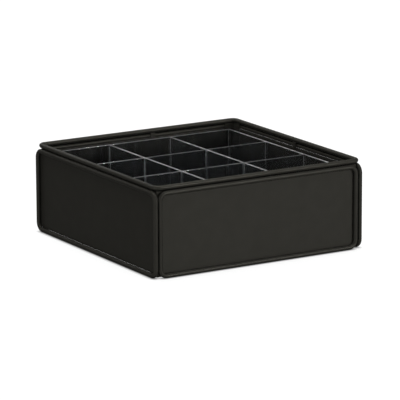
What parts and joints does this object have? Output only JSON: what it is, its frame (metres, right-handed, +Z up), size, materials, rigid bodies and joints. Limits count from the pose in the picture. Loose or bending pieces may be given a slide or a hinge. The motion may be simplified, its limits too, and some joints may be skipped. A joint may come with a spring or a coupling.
{
  "type": "condiment organizer",
  "caption": "Square open box of black wire loops and sheet panels that holds a loose clear tray divided into square compartments for condiments and packets.",
  "frame": {"origin": "middle of the footprint, on the surface that the box stands on", "axes": "+Z up, +X to the right and -Y to the front of the box; the two are alike but for the loops, because the side loops are as deep as the box and the front and back loops stand between them"},
  "size_m": [0.305, 0.305, 0.1168],
  "materials": {
    "black_powder_coat": "satin",
    "clear_acrylic": "polished"
  },
  "bodies": {
    "box": {"rim_wire": "black_powder_coat", "front_loop": "black_powder_coat", "back_loop": "black_powder_coat", "left_loop": "black_powder_coat", "right_loop": "black_powder_coat", "front_panel": "black_powder_coat", "back_panel": "black_powder_coat", "left_panel": "black_powder_coat", "right_panel": "black_powder_coat", "corner_angle_front_left": "black_powder_coat", "corner_angle_front_right": "black_powder_coat", "corner_angle_back_left": "black_powder_coat", "corner_angle_back_right": "black_powder_coat", "front_rim_tab": "black_powder_coat", "back_rim_tab": "black_powder_coat", "left_rim_tab": "black_powder_coat", "right_rim_tab": "black_powder_coat", "base_plate": "black_powder_coat"},
    "tray": {"tray_floor": "clear_acrylic", "tray_front_wall": "clear_acrylic", "tray_back_wall": "clear_acrylic", "tray_left_wall": "clear_acrylic", "tray_right_wall": "clear_acrylic", "long_divider_left": "clear_acrylic", "long_divider_right": "clear_acrylic", "cross_divider_front": "clear_acrylic", "cross_divider_back": "clear_acrylic"}
  },
  "joints": [
    {"name": "tray_lift", "type": "slide", "parent": "box", "child": "tray", "axis": [0, 0, 1], "range_m": [0, 0.115]}
  ]
}
